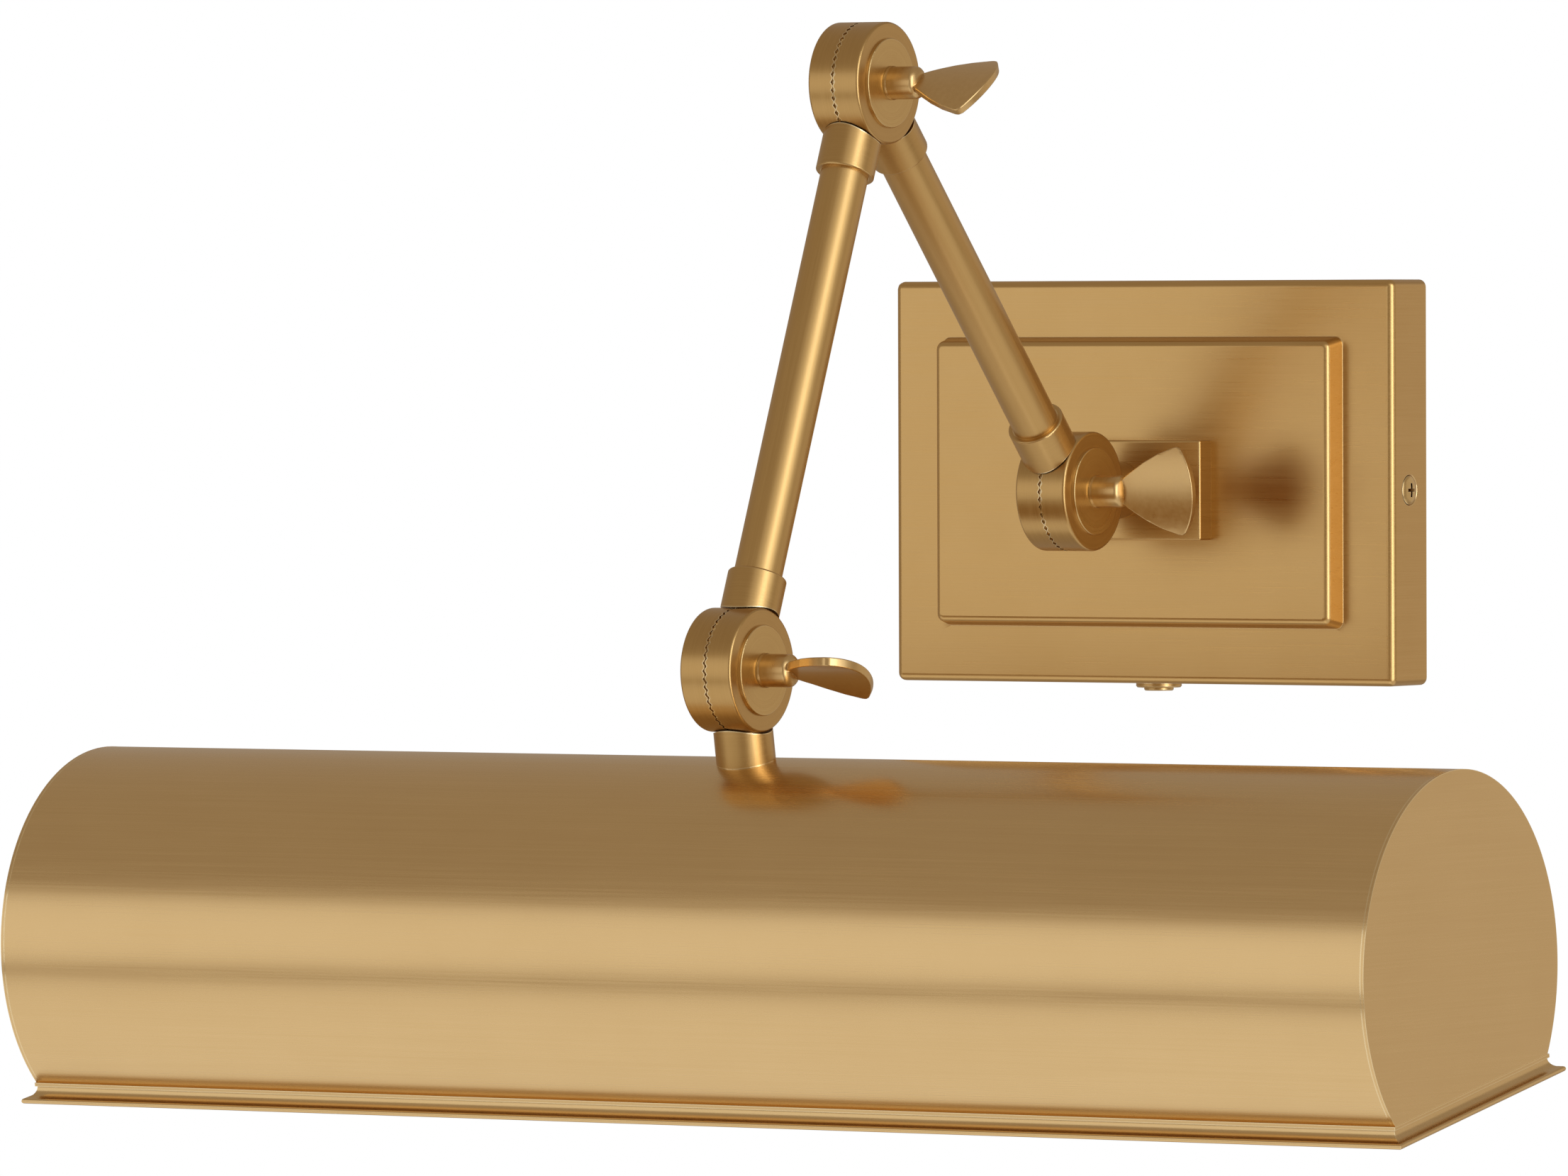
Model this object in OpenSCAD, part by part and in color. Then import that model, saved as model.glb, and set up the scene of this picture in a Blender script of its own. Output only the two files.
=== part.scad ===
// Wall-mounted picture light: box-shaped wall cover, two-link arm with three
// toothed clamp joints worked by thumb screws, and a long half-round shade.
// Millimetres. Origin at the centre of the wall box mount, on the wall plane.
// +X to the right seen from the room, -Y out into the room, +Z up.

/* [Wall cover] */
// cover width along X
cover_w = 163; // [140:1:190]
// cover height along Z
cover_h = 114.4; // [100:0.2:140]
// cover depth from the wall to the frame face
cover_d = 19.4; // [16:0.2:26]
// cover wall thickness
cover_t = 2; // [1.6:0.1:3]
// rounding of the cover edges
cover_r = 1.4; // [0.6:0.1:2]
// height of the cover centre above the mount centre
cover_lift = 2.1; // [0:0.1:6]
// raised panel width
panel_w = 128.2; // [100:0.2:140]
// raised panel height
panel_h = 79.4; // [60:0.2:95]
// raised panel projection
panel_d = 6.6; // [3:0.1:9]
// rounding of the panel edges
panel_r = 1.4; // [0.6:0.1:2]
// boss pad width
pad_w = 53; // [30:1:60]
// boss pad height
pad_h = 28.2; // [22:0.2:40]
// boss pad thickness
pad_d = 6.4; // [3:0.1:9]

/* [Wall box mount] */
// distance between the two mounting slots
slot_pitch = 88.9; // [70:0.1:95]
// slot width
slot_w = 5; // [4:0.1:6]
// slot length along X
slot_l = 14; // [6:0.5:20]
// crossbar sheet thickness
bar_t = 1.6; // [1.2:0.1:3]
// crossbar height
bar_h = 44; // [30:1:50]
// depth of the cover screw axis in front of the wall
side_y = 9.8; // [8:0.1:12]

/* [Arm] */
// distance of the wall joint axis from the wall
wall_reach = 59.8; // [54:0.1:70]
// rear arm length between joint axes
rear_len = 158.5; // [120:0.5:200]
// front arm length between joint axes
front_len = 172.9; // [120:0.1:200]
// rear arm direction, degrees up from the wall normal
rear_angle = 134.4; // [80:0.1:180]
// front arm direction, degrees
front_angle = -112.9; // [-200:0.1:-100]
// shade tilt, degrees, opening toward the wall
shade_tilt = 10.1; // [-30:0.1:60]
// arm tube outer radius
tube_r = 6.6; // [5:0.1:8]
// stem radius inside the tubes and sleeves
stem_r = 5.2; // [4:0.1:6]
// wire bore radius in the stems
wire_bore_r = 2.75; // [2:0.05:3]

/* [Joints] */
// joint drum radius
drum_r = 16.8; // [14:0.1:20]
// joint half width
half_w = 8; // [6:0.1:10]
// number of clamp teeth
teeth = 48; // [24:4:60]
// tooth height
tooth_h = 0.6; // [0.3:0.1:1]
// clearance between a sleeve and the drum
drum_gap = 0.35; // [0.3:0.05:0.6]
// face disc radius
disc_r = 12.3; // [9:0.1:14]
// face disc thickness
disc_t = 0.8; // [0.5:0.1:1.5]
// sleeve outer radius
sleeve_r = 8.1; // [7.4:0.1:9]
// end of the sleeve, distance from the joint axis
sleeve_end = 27.3; // [24:0.1:32]

/* [Thumb screws] */
// screw thread radius
screw_r = 2.95; // [2:0.05:4]
// thumb shank radius
shank_r = 4.5; // [3.5:0.1:6]
// thumb shank length
shank_l = 8.6; // [6:0.1:16]
// wing length along the axis
wing_l = 23.2; // [16:0.2:30]
// wing width at its widest
wing_w = 25; // [16:0.2:30]
// wing thickness
wing_t = 2.4; // [1.6:0.1:4]
// wing turn at the wall joint, degrees
wing_wall = 97; // [-180:1:180]
// wing turn at the middle joint, degrees
wing_mid = 33; // [-180:1:180]
// wing turn at the shade joint, degrees
wing_shade = -24; // [-180:1:180]

/* [Shade] */
// shade length between end caps
shade_l = 428; // [300:1:600]
// shade outer radius
shade_r = 53.2; // [40:0.1:70]
// sheet thickness
sheet_t = 1; // [0.8:0.1:2]
// cut-off line below the shade centre
chord_z = 32; // [20:0.5:40]
// shade centre below the shade joint axis
shade_drop = 78.4; // [72:0.1:90]
// lip frame height
lip_h = 5.4; // [3:0.1:8]
// lip frame projection from the cut-off edge
lip_out = 3.6; // [2:0.1:6]
// end cap thickness
cap_t = 1; // [0.8:0.1:2]
// lamp axis below the shade centre
lamp_z = 5; // [0:0.5:12]

/* [Switch] */
// switch ring radius
ring_r = 6.5; // [5:0.1:8]
// switch ring thickness
ring_t = 1.3; // [0.8:0.1:3]
// push button radius
button_r = 4.2; // [3:0.1:5]
// push button projection below the ring
button_out = 0.9; // [0.6:0.1:3]

/* [Hidden] */
$fn = 96;

face_y = -cover_d - panel_d;
pad_y = face_y - pad_d;
j1 = [0, -wall_reach, 0];
j2 = j1 + rear_len * [0, cos(rear_angle), sin(rear_angle)];
j3 = j2 + front_len * [0, cos(front_angle), sin(front_angle)];
shade_dir = -90 + shade_tilt;
clear_r = drum_r + drum_gap;
tube_start = 20;
stem_end = 34;
hub_r = 8;
bore_r = 3.05;
crest = 0.05;
tooth_floor = 16.2;
shoulder = half_w + disc_t + 0.3;
wing_start = shoulder + shank_l;
nut_t = 4.6;
nut_r = 5.75;
wall_in = wall_reach + face_y + cover_t;
wall_stem_end = wall_in + 7;
shade_in = shade_drop - shade_r + sheet_t;
saddle_end = shade_in + 1.8;
chord_half = sqrt(shade_r * shade_r - chord_z * chord_z);
lip_half_x = shade_l / 2 + cap_t + lip_out - 0.4;
lip_half_y = chord_half + lip_out;
leg_x = 16;
holder_l = 34;
cover_low = cover_lift - cover_h / 2;

// ---------- placing helpers ----------

// put children at a joint with local +Z along the given direction
module at_joint(p, dir) {
  translate(p)
    rotate([dir - 90, 0, 0])
      children();
}

// put children in the shade frame: circle centre at the origin, +Z toward the joint
module at_shade() {
  translate(j3)
    rotate([shade_tilt, 0, 0])
      translate([0, 0, -shade_drop])
        children();
}

// turn a shape drawn along +Z so that it runs along +X
module along_x() {
  rotate([0, 90, 0])
    children();
}

// ---------- shared shapes ----------

module round_rect(w, h, r) {
  square([w - 2 * r, h], center = true);
  square([w, h - 2 * r], center = true);
  for (x = [-1, 1], y = [-1, 1])
    translate([x * (w / 2 - r), y * (h / 2 - r)])
      circle(r);
}

// slab standing on z = 0 with its upper edges and its corners rounded
module soft_slab(w, h, d, r) {
  linear_extrude(d - r)
    round_rect(w, h, r);
  translate([0, 0, d / 2])
    cube([w - 2 * r, h - 2 * r, d], center = true);
  translate([0, 0, d - r]) {
    for (x = [-1, 1])
      translate([x * (w / 2 - r), 0, 0])
        rotate([90, 0, 0])
          cylinder(h = h - 2 * r, r = r, center = true);
    for (y = [-1, 1])
      translate([0, y * (h / 2 - r), 0])
        rotate([0, 90, 0])
          cylinder(h = w - 2 * r, r = r, center = true);
    for (x = [-1, 1], y = [-1, 1])
      translate([x * (w / 2 - r), y * (h / 2 - r), 0])
        sphere(r);
  }
}

// joint drum half in section: radius across, distance from the tooth crests up
module half_profile() {
  difference() {
    union() {
      translate([0, crest])
        square([drum_r, half_w - 0.8 - crest]);
      translate([0, crest])
        square([drum_r - 0.8, half_w - crest]);
      translate([drum_r - 0.8, half_w - 0.8])
        circle(0.8);
    }
    translate([hub_r, -1])
      square([13.3 - hub_r, half_w - 1.2]);
    translate([-1, -1])
      square([1 + bore_r, half_w + 2]);
    translate([-1, -1])
      square([hub_r + 2, 1.25]);
  }
}

// one V-shaped gap between two clamp teeth, cut through the rim
module tooth_cut() {
  translate([0, 0, tooth_floor])
    linear_extrude(6)
      polygon([[0, -0.98], [0, 0.98], [crest + tooth_h, 0]]);
}

// +X joint half (side 1) or -X joint half (side -1) with a hollow stem along +Z;
// the -X half has a pocket for the clamp nut
module joint_half(side, reach) {
  mirror([side < 0 ? 1 : 0, 0, 0])
    difference() {
      union() {
        difference() {
          along_x()
            rotate_extrude()
              half_profile();
          for (i = [0 : teeth - 1])
            rotate([i * 360 / teeth, 0, 0])
              tooth_cut();
        }
        difference() {
          translate([0, 0, 13.6])
            cylinder(h = reach - 13.6, r = stem_r);
          translate([-20, 0, 0])
            along_x()
              cylinder(h = 20 + crest, r = clear_r);
        }
      }
      translate([0, 0, 12])
        cylinder(h = reach, r = wire_bore_r);
      if (side < 0)
        translate([half_w - nut_t, 0, 0])
          along_x()
            cylinder(h = nut_t + 1, r = nut_r, $fn = 6);
    }
}

// sleeve over a stem, hollowed to clear the drum; reach is its outer end
module sleeve(reach, with_tube) {
  difference() {
    union() {
      translate([0, 0, 14.2])
        cylinder(h = reach - 14.2 - 0.5, r = sleeve_r);
      translate([0, 0, 14.2])
        cylinder(h = reach - 14.2, r = sleeve_r - 0.5);
      translate([0, 0, reach - 0.5])
        rotate_extrude()
          translate([sleeve_r - 0.5, 0])
            circle(0.5);
    }
    cylinder(h = reach + 5, r = stem_r);
    if (with_tube)
      translate([0, 0, tube_start])
        cylinder(h = reach, r = tube_r);
    translate([-20, 0, 0])
      along_x()
        cylinder(h = 40, r = clear_r);
  }
}

module tube(len) {
  translate([0, 0, tube_start])
    difference() {
      cylinder(h = len - 2 * tube_start, r = tube_r);
      translate([0, 0, -1])
        cylinder(h = len, r = stem_r);
    }
}

// two insulated wires lying in the stem bores
module wires(len) {
  for (x = [-1, 1])
    translate([x * wire_bore_r / 2, 0, 18])
      cylinder(h = len - 36, r = wire_bore_r / 2 - 0.02);
}

module clamp_nut() {
  translate([-half_w, 0, 0])
    along_x()
      difference() {
        cylinder(h = nut_t, r = nut_r, $fn = 6);
        translate([0, 0, -1])
          cylinder(h = nut_t + 2, r = bore_r);
      }
}

// disc lying on an outer drum face, at +X or -X, with or without a bore
module disc(side, bore) {
  mirror([side < 0 ? 1 : 0, 0, 0])
    translate([half_w, 0, 0])
      along_x()
        difference() {
          union() {
            cylinder(h = disc_t - 0.3, r = disc_r);
            cylinder(h = disc_t, r = disc_r - 0.3);
            translate([0, 0, disc_t - 0.3])
              rotate_extrude()
                translate([disc_r - 0.3, 0])
                  circle(0.3);
          }
          translate([0, 0, -1])
            cylinder(h = 1, r = disc_r + 1);
          if (bore)
            translate([0, 0, -1])
              cylinder(h = disc_t + 2, r = bore_r);
        }
}

// fan-shaped wing outline, root at the origin, widening along +X
module wing_outline() {
  sag = 4.8;
  end_r = (sag * sag + wing_w * wing_w / 4) / (2 * sag);
  slope = (wing_w / 2 - 3.2) / (wing_l - sag);
  intersection() {
    translate([wing_l - end_r, 0])
      circle(end_r);
    polygon([[-1, 3.2 - slope], [wing_l, 3.2 + slope * wing_l],
      [wing_l, -3.2 - slope * wing_l], [-1, slope - 3.2]]);
  }
}

// thumb screw on the joint axis, wing chord turned about X from +Y
module thumb_screw(turn) {
  cup_r = 40;
  along_x() {
    translate([0, 0, 0.7 - half_w])
      cylinder(h = half_w + shoulder, r = screw_r);
    translate([0, 0, shoulder])
      cylinder(h = shank_l, r = shank_r);
    translate([0, 0, wing_start])
      cylinder(h = 2.6, r1 = shank_r, r2 = 2.4);
  }
  rotate([turn, 0, 0])
    translate([wing_start - 0.6, 0, 0])
      intersection() {
        linear_extrude(14, center = true)
          wing_outline();
        translate([-2, 0, wing_t / 2 - cup_r])
          along_x()
            difference() {
              cylinder(h = wing_l + 6, r = cup_r);
              translate([0, 0, -1])
                cylinder(h = wing_l + 8, r = cup_r - wing_t);
            }
      }
}

module washer_ring(start, t, ro, ri) {
  translate([0, 0, start])
    difference() {
      cylinder(h = t, r = ro);
      translate([0, 0, -1])
        cylinder(h = t + 2, r = ri);
    }
}

module hex_nut(start, t, r) {
  translate([0, 0, start])
    difference() {
      cylinder(h = t, r = r, $fn = 6);
      translate([0, 0, -1])
        cylinder(h = t + 2, r = stem_r);
    }
}

// ---------- wall cover and what it holds ----------

// put shapes drawn on the XY plane onto the wall, +Z out into the room
module on_wall(lift) {
  translate([0, 0, lift])
    rotate([90, 0, 0])
      children();
}

module wall_cover() {
  color("#B99455")
    difference() {
      on_wall(cover_lift)
        difference() {
          union() {
            soft_slab(cover_w, cover_h, cover_d, cover_r);
            translate([0, 0, cover_d - 3])
              soft_slab(panel_w, panel_h, panel_d + 3, panel_r);
          }
          translate([0, 0, (cover_d - cover_t) / 2 - 1])
            cube([cover_w - 2 * cover_t, cover_h - 2 * cover_t, cover_d - cover_t + 2], center = true);
          translate([0, 0, (cover_d + panel_d - cover_t) / 2])
            cube([panel_w - 2 * cover_t, panel_h - 2 * cover_t, cover_d + panel_d - cover_t], center = true);
        }
      on_wall(0)
        cylinder(h = 40, r = stem_r);
      translate([0, -side_y, cover_low - 1])
        cylinder(h = cover_t + 2, r = 5);
      for (s = [0, 1])
        mirror([s, 0, 0])
          translate([cover_w / 2, -side_y, 0])
            rotate([0, -90, 0]) {
              cylinder(h = cover_t, r1 = 4.4, r2 = 2.2);
              translate([0, 0, -1])
                cylinder(h = cover_t + 2, r = 2.2);
            }
    }
}

module boss_pad() {
  color("#B08B4E")
    on_wall(0)
      difference() {
        translate([0, 0, -face_y])
          soft_slab(pad_w, pad_h, pad_d, 0.6);
        cylinder(h = 60, r = stem_r);
      }
}

module crossbar() {
  bar_x = cover_w / 2 - cover_t;
  color("#9A9C9E")
    difference() {
      union() {
        translate([-bar_x, -bar_t, -bar_h / 2])
          cube([2 * bar_x, bar_t, bar_h]);
        for (s = [-1, 1])
          translate([s * (bar_x - 1), -8, 0])
            cube([2, 16, 24], center = true);
      }
      for (s = [-1, 1])
        translate([s * slot_pitch / 2, 0, 0])
          rotate([90, 0, 0]) {
            for (k = [-1, 1])
              translate([k * (slot_l - slot_w) / 2, 0, -1])
                cylinder(h = bar_t + 2, r = slot_w / 2);
            translate([0, 0, bar_t / 2])
              cube([slot_l - slot_w, slot_w, bar_t + 2], center = true);
          }
      translate([0, 1, 0])
        rotate([90, 0, 0])
          cylinder(h = bar_t + 2, r = 14);
      translate([26, 1, -14])
        rotate([90, 0, 0])
          cylinder(h = bar_t + 2, r = 2);
      translate([-100, -side_y, 0])
        along_x()
          cylinder(h = 200, r = 2);
    }
}

module cover_screws() {
  color("#B99455")
    for (s = [0, 1])
      mirror([s, 0, 0])
        translate([cover_w / 2, -side_y, 0])
          rotate([0, -90, 0])
            difference() {
              union() {
                translate([0, 0, 0.2])
                  cylinder(h = 1.8, r1 = 4.18, r2 = 2.2);
                translate([0, 0, 2])
                  cylinder(h = 8, r = 2);
              }
              translate([0, 0, 0.8])
                cube([3.6, 0.9, 1.6], center = true);
              translate([0, 0, 0.8])
                cube([0.9, 3.6, 1.6], center = true);
            }
}

module ground_screw() {
  color("#4E8A4A")
    translate([26, 0, -14])
      rotate([90, 0, 0])
        difference() {
          union() {
            cylinder(h = bar_t, r = 2);
            translate([0, 0, bar_t])
              cylinder(h = 2.2, r = 4);
          }
          translate([0, 0, bar_t + 2])
            cube([9, 1, 1.6], center = true);
        }
}

module switch_case() {
  color("#2A2A2C")
    translate([0, -side_y, cover_low])
      difference() {
        union() {
          translate([-7, -7, cover_t])
            cube([14, 14, 20]);
          translate([0, 0, -ring_t])
            cylinder(h = cover_t + ring_t + 1, r = 5);
        }
        translate([0, 0, -ring_t - 1])
          cylinder(h = ring_t + 11, r = button_r + 0.08);
      }
}

module switch_ring() {
  color("#B99455")
    translate([0, -side_y, cover_low - ring_t])
      difference() {
        union() {
          translate([0, 0, 0.4])
            cylinder(h = ring_t - 0.4, r = ring_r);
          cylinder(h = 0.4, r1 = ring_r - 0.4, r2 = ring_r);
        }
        translate([0, 0, -1])
          cylinder(h = ring_t + 2, r = 5);
      }
}

module switch_button() {
  color("#C7A468")
    translate([0, -side_y, cover_low - ring_t - button_out]) {
      cylinder(h = 0.3, r1 = button_r - 0.3, r2 = button_r);
      translate([0, 0, 0.3])
        cylinder(h = 9.5, r = button_r);
    }
}

// ---------- wall joint ----------

module wall_joint_half() {
  color("#A9854B")
    at_joint(j1, 0)
      joint_half(-1, wall_stem_end);
}

module wall_sleeve() {
  color("#B08B4E")
    at_joint(j1, 0)
      sleeve(wall_reach + pad_y, false);
}

module wall_washer() {
  color("#9A9C9E")
    at_joint(j1, 0)
      washer_ring(wall_in, 1.2, 9, stem_r);
}

module wall_lock_nut() {
  color("#B99455")
    at_joint(j1, 0)
      hex_nut(wall_in + 1.2, 4, 8.6);
}

module wall_clamp_nut() {
  color("#C7A468")
    at_joint(j1, 0)
      clamp_nut();
}

module wall_back_disc() {
  color("#B08B4E")
    at_joint(j1, 0)
      disc(-1, false);
}

module wall_thumb_screw() {
  color("#B99455")
    translate(j1)
      thumb_screw(wing_wall);
}

// ---------- rear arm ----------

module rear_lower_half() {
  color("#A9854B")
    at_joint(j1, rear_angle)
      joint_half(1, stem_end);
}

module rear_upper_half() {
  color("#A9854B")
    at_joint(j2, rear_angle + 180)
      joint_half(1, stem_end);
}

module rear_sleeves() {
  color("#B08B4E") {
    at_joint(j1, rear_angle)
      sleeve(sleeve_end, true);
    at_joint(j2, rear_angle + 180)
      sleeve(sleeve_end, true);
  }
}

module rear_tube() {
  color("#B99455")
    at_joint(j1, rear_angle)
      tube(rear_len);
}

module rear_wires() {
  color("#D8D2C4")
    at_joint(j1, rear_angle)
      wires(rear_len);
}

module wall_face_disc() {
  color("#B08B4E")
    at_joint(j1, 0)
      disc(1, true);
}

module mid_face_disc() {
  color("#B08B4E")
    at_joint(j2, 0)
      disc(1, true);
}

// ---------- front arm ----------

module front_upper_half() {
  color("#A9854B")
    at_joint(j2, front_angle)
      joint_half(-1, stem_end);
}

module front_lower_half() {
  color("#A9854B")
    at_joint(j3, front_angle + 180)
      joint_half(-1, stem_end);
}

module front_sleeves() {
  color("#B08B4E") {
    at_joint(j2, front_angle)
      sleeve(sleeve_end, true);
    at_joint(j3, front_angle + 180)
      sleeve(sleeve_end, true);
  }
}

module front_tube() {
  color("#B99455")
    at_joint(j2, front_angle)
      tube(front_len);
}

module front_wires() {
  color("#D8D2C4")
    at_joint(j2, front_angle)
      wires(front_len);
}

module mid_clamp_nut() {
  color("#C7A468")
    at_joint(j2, front_angle)
      clamp_nut();
}

module mid_back_disc() {
  color("#B08B4E")
    at_joint(j2, 0)
      disc(-1, false);
}

module mid_thumb_screw() {
  color("#B99455")
    translate(j2)
      thumb_screw(wing_mid);
}

module shade_clamp_nut() {
  color("#C7A468")
    at_joint(j3, front_angle + 180)
      clamp_nut();
}

module shade_back_disc() {
  color("#B08B4E")
    at_joint(j3, 0)
      disc(-1, false);
}

module shade_thumb_screw() {
  color("#B99455")
    translate(j3)
      thumb_screw(wing_shade);
}

// ---------- shade ----------

module shade_joint_half() {
  color("#A9854B")
    at_joint(j3, shade_dir)
      joint_half(1, saddle_end + 7);
}

module shade_face_disc() {
  color("#B08B4E")
    at_joint(j3, 0)
      disc(1, true);
}

module shade_sleeve() {
  color("#B08B4E")
    difference() {
      at_joint(j3, shade_dir)
        sleeve(shade_drop - shade_r + 3, false);
      at_shade()
        translate([-20, 0, 0])
          along_x()
            cylinder(h = 40, r = shade_r);
    }
}

module saddle_washer() {
  color("#9A9C9E")
    intersection() {
      at_joint(j3, shade_dir)
        washer_ring(shade_in, saddle_end - shade_in, 9, stem_r);
      at_shade()
        translate([-20, 0, 0])
          along_x()
            cylinder(h = 40, r = shade_r - sheet_t, $fn = 360);
    }
}

module shade_lock_nut() {
  color("#B99455")
    at_joint(j3, shade_dir)
      hex_nut(saddle_end + 1.2, 4.2, 8.6);
}

// draw a YZ section and run it along X, centred
module run_x(len) {
  rotate([90, 0, 90])
    linear_extrude(len, center = true)
      children();
}

module cut_below(z) {
  translate([-2 * shade_r, -3 * shade_r])
    square([4 * shade_r, 3 * shade_r - z]);
}

module shade_shell() {
  color("#BE9A5C")
    at_shade()
      difference() {
        run_x(shade_l)
          difference() {
            circle(shade_r);
            circle(shade_r - sheet_t);
            cut_below(chord_z);
          }
        cylinder(h = 80, r = stem_r);
      }
}

// flat end with an inner flange fitting inside the shell
module end_cap() {
  translate([shade_l / 2 + cap_t / 2, 0, 0])
    run_x(cap_t)
      difference() {
        circle(shade_r);
        cut_below(chord_z);
      }
  translate([shade_l / 2 - 3, 0, 0])
    run_x(6)
      difference() {
        circle(shade_r - sheet_t);
        circle(shade_r - 2 * sheet_t);
        cut_below(chord_z);
      }
}

module left_end_cap() {
  color("#A98A59")
    at_shade()
      mirror([1, 0, 0])
        end_cap();
}

module right_end_cap() {
  color("#A98A59")
    at_shade()
      end_cap();
}

// lip section: outer edge at zero, inward along X, height above the opening up
module lip_profile() {
  difference() {
    union() {
      translate([0.75, 0])
        square([4.3, lip_h]);
      translate([0.75, 0.75])
        circle(0.75);
    }
    intersection() {
      translate([0.6, lip_h - 1])
        circle(2.9);
      translate([-5, -5])
        square([20, 4 + lip_h]);
    }
    translate([-1, lip_h - 1])
      square([4, 2]);
  }
}

// one mitred side of the lip, hx half length, hy half distance across
module lip_side(hx, hy) {
  intersection() {
    rotate([90, 0, 90])
      linear_extrude(2 * hx, center = true)
        translate([-hy, 0])
          lip_profile();
    linear_extrude(2 * lip_h)
      polygon([[-hx, -hy], [hx, -hy], [hx - 8, 8 - hy], [8 - hx, 8 - hy]]);
  }
}

module lip_frame() {
  color("#BE9A5C")
    at_shade()
      translate([0, 0, -chord_z - lip_h])
        for (a = [0, 180]) {
          rotate([0, 0, a])
            lip_side(lip_half_x, lip_half_y);
          rotate([0, 0, a + 90])
            lip_side(lip_half_y, lip_half_x);
        }
}

// ---------- lamp holders and lamps ----------

module lamp_bracket() {
  top = shade_drop - saddle_end;
  color("#9A9C9E")
    at_shade()
      difference() {
        union() {
          translate([-leg_x - 1.2, -10, top - 1.2])
            cube([2 * leg_x + 2.4, 20, 1.2]);
          for (s = [-1, 1])
            translate([s * (leg_x + 0.6) - 0.6, -10, -lamp_z - 12])
              cube([1.2, 20, top + lamp_z + 12]);
        }
        cylinder(h = 80, r = stem_r);
        for (y = [-7, 7])
          translate([-50, y, -lamp_z])
            along_x()
              cylinder(h = 100, r = 1.5);
        translate([-50, 0, -lamp_z])
          along_x()
            cylinder(h = 100, r = 3);
      }
}

// run children outward along +X and -X from the bracket legs on the lamp axis
module lamp_pair() {
  at_shade()
    for (s = [0, 1])
      mirror([s, 0, 0])
        translate([leg_x + 1.2, 0, -lamp_z])
          along_x()
            children();
}

module lampholders() {
  color("#E9E4D6")
    lamp_pair()
      difference() {
        union() {
          cylinder(h = 5, r = 14.5);
          translate([0, 0, 5])
            cylinder(h = holder_l - 5, r = 16.8);
        }
        translate([0, 0, 6])
          cylinder(h = holder_l, r = 13.4);
        for (y = [-7, 7])
          translate([0, y, -1])
            cylinder(h = 5, r = 1.5);
      }
}

module lampholder_screws() {
  color("#9A9C9E")
    lamp_pair()
      for (y = [-7, 7])
        translate([0, y, 0]) {
          translate([0, 0, -2.8])
            cylinder(h = 1.6, r = 2.8);
          translate([0, 0, -1.2])
            cylinder(h = 5, r = 1.5);
        }
}

module lamp_bases() {
  color("#C9B27A")
    lamp_pair() {
      translate([0, 0, 6])
        cylinder(h = 2, r = 3);
      translate([0, 0, 8])
        cylinder(h = 3, r1 = 6, r2 = 12.9);
      translate([0, 0, 11])
        cylinder(h = holder_l - 10, r = 12.9);
    }
}

// long tubular lamp glass, hollow, inset by the given amount
module lamp_body(inset) {
  r = 15.8 - inset;
  translate([0, 0, holder_l + 1])
    cylinder(h = 9, r1 = 12.9 - inset, r2 = r);
  translate([0, 0, holder_l + 10])
    cylinder(h = 86, r = r);
  translate([0, 0, holder_l + 96])
    sphere(r);
}

module lamp_glass() {
  color("#F4EEDC")
    lamp_pair()
      difference() {
        lamp_body(0);
        lamp_body(1);
      }
}

// ---------- drawing ----------

wall_cover();
boss_pad();
crossbar();
cover_screws();
ground_screw();
switch_case();
switch_ring();
switch_button();
wall_joint_half();
wall_sleeve();
wall_washer();
wall_lock_nut();
wall_clamp_nut();
wall_back_disc();
wall_thumb_screw();
rear_lower_half();
rear_upper_half();
rear_sleeves();
rear_tube();
rear_wires();
wall_face_disc();
mid_face_disc();
front_upper_half();
front_lower_half();
front_sleeves();
front_tube();
front_wires();
mid_clamp_nut();
mid_back_disc();
mid_thumb_screw();
shade_clamp_nut();
shade_back_disc();
shade_thumb_screw();
shade_joint_half();
shade_face_disc();
shade_sleeve();
saddle_washer();
shade_lock_nut();
shade_shell();
left_end_cap();
right_end_cap();
lip_frame();
lamp_bracket();
lampholders();
lampholder_screws();
lamp_bases();
lamp_glass();
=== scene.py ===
import math

import bmesh
import bpy
from mathutils import Matrix, Vector


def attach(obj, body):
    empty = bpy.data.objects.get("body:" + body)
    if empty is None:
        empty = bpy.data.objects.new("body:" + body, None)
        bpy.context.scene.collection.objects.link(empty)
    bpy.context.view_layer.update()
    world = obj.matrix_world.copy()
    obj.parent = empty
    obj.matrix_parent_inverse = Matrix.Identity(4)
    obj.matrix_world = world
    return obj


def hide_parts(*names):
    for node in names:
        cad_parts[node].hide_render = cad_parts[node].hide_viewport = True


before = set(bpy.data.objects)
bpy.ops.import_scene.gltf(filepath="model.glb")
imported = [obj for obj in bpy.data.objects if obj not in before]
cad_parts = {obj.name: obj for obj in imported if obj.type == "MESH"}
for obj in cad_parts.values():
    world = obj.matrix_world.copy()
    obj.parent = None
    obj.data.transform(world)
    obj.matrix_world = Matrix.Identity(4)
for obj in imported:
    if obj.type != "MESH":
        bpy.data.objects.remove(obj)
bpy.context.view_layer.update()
MM = 0.001

# ---------- joint points and directions, from the part's own measures ----------

WALL_REACH = 59.8 * MM
REAR_LENGTH = 158.5 * MM
FRONT_LENGTH = 172.9 * MM
REAR_ANGLE = math.radians(134.4)
FRONT_ANGLE = math.radians(-112.9)
SHADE_TILT = math.radians(10.1)


def along_arm(angle):
    """Direction in the YZ plane, turned up from the wall's normal."""
    return Vector((0, math.cos(angle), math.sin(angle)))


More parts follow.
